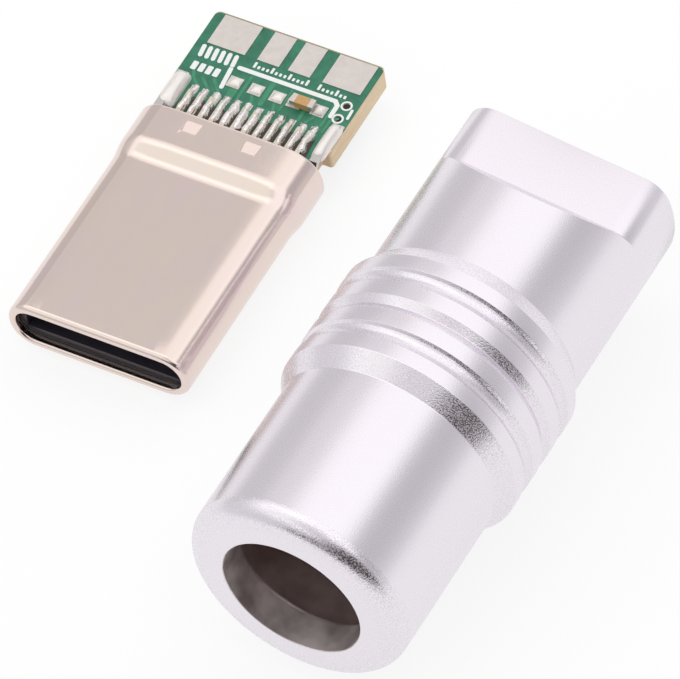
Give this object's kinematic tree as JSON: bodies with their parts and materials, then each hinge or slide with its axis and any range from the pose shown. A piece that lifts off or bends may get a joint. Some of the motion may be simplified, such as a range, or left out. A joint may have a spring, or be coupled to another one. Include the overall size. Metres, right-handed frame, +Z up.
{
  "type": "usb-c plug",
  "caption": "Solder-type USB-C plug on a small circuit board, beside its turned aluminium housing with a cable hole and a gripping band.",
  "frame": {"origin": "on the surface that both pieces lie on, under the middle of the pair's box", "axes": "+Y from the plug's mouth to its board, +Z up off the board's upper face, +X from the plug to the housing"},
  "size_m": [0.024, 0.027, 0.0103],
  "materials": {
    "nickel_plated_steel": "satin nickel plate",
    "spring_steel": "bare stainless strip",
    "insulator_plastic": "moulded black",
    "board_laminate": "green solder mask over glass-epoxy laminate",
    "tinned_copper": "matt tin",
    "solder": "bright solder",
    "ceramic": "fired ceramic",
    "contact_alloy": "plated copper alloy",
    "turned_aluminium": "fine turned, silver anodised"
  },
  "bodies": {
    "root": {"capacitor_body": "ceramic", "capacitor_caps": "solder", "chip_pads": "tinned_copper", "circuit_board": "board_laminate", "contact_a01": "contact_alloy", "contact_a02": "contact_alloy", "contact_a03": "contact_alloy", "contact_a04": "contact_alloy", "contact_a05": "contact_alloy", "contact_a06": "contact_alloy", "contact_a07": "contact_alloy", "contact_a08": "contact_alloy", "contact_a09": "contact_alloy", "contact_a10": "contact_alloy", "contact_a11": "contact_alloy", "contact_a12": "contact_alloy", "contact_b01": "contact_alloy", "contact_b02": "contact_alloy", "contact_b03": "contact_alloy", "contact_b04": "contact_alloy", "contact_b05": "contact_alloy", "contact_b06": "contact_alloy", "contact_b07": "contact_alloy", "contact_b08": "contact_alloy", "contact_b09": "contact_alloy", "contact_b10": "contact_alloy", "contact_b11": "contact_alloy", "contact_b12": "contact_alloy", "contact_pads_bottom": "tinned_copper", "contact_pads_top": "tinned_copper", "front_insulator": "insulator_plastic", "housing": "turned_aluminium", "latch_plate": "spring_steel", "leg_pads": "tinned_copper", "leg_solder": "solder", "lower_contact_carrier": "insulator_plastic", "lower_grounding_spring": "spring_steel", "plug_shell": "nickel_plated_steel", "tail_solder_bottom": "solder", "tail_solder_top": "solder", "upper_contact_carrier": "insulator_plastic", "upper_grounding_spring": "spring_steel", "wire_pads_bottom": "tinned_copper", "wire_pads_top": "tinned_copper"}
  },
  "joints": []
}
